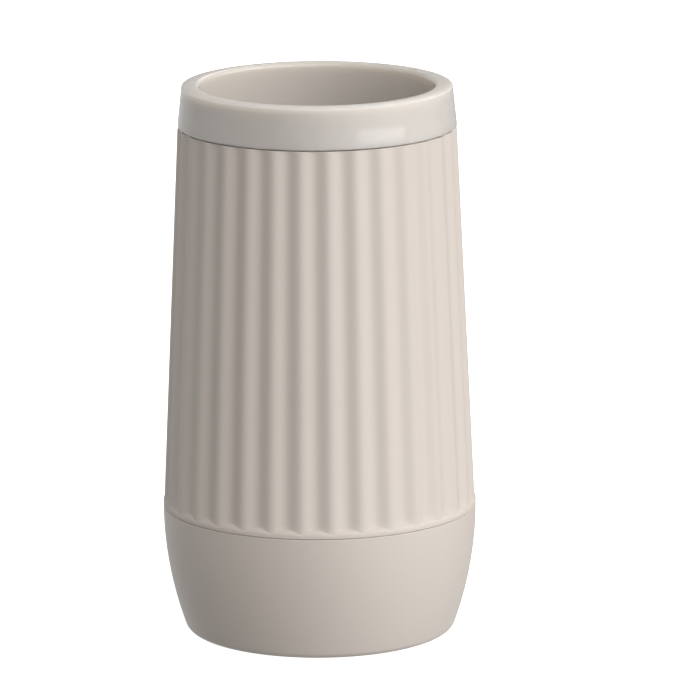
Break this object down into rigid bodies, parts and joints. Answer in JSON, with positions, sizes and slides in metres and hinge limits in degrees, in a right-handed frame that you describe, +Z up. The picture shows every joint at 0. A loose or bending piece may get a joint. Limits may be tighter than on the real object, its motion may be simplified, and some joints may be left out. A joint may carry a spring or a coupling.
{
  "type": "bathroom tumbler",
  "caption": "Round tapered bathroom tumbler: a glossy lift-out inner cup hangs by its broad rim in a matte fluted sleeve, snapped over a smooth rounded base.",
  "frame": {"origin": "middle of the foot, on the surface that the tumbler stands on", "axes": "+Z up along the tumbler's own axis; a flute is centred on -Y, the side the picture is taken from"},
  "size_m": [0.075, 0.075, 0.1324],
  "materials": {
    "cup_gloss": "glossy",
    "sleeve_matte": "fine matte",
    "base_satin": "satin"
  },
  "bodies": {
    "shell": {"fluted_sleeve": "sleeve_matte", "base": "base_satin"},
    "cup": {"inner_cup": "cup_gloss"}
  },
  "joints": [
    {"name": "cup_lift", "type": "slide", "parent": "shell", "child": "cup", "axis": [0, 0, 1], "range_m": [0, 0.13]}
  ]
}
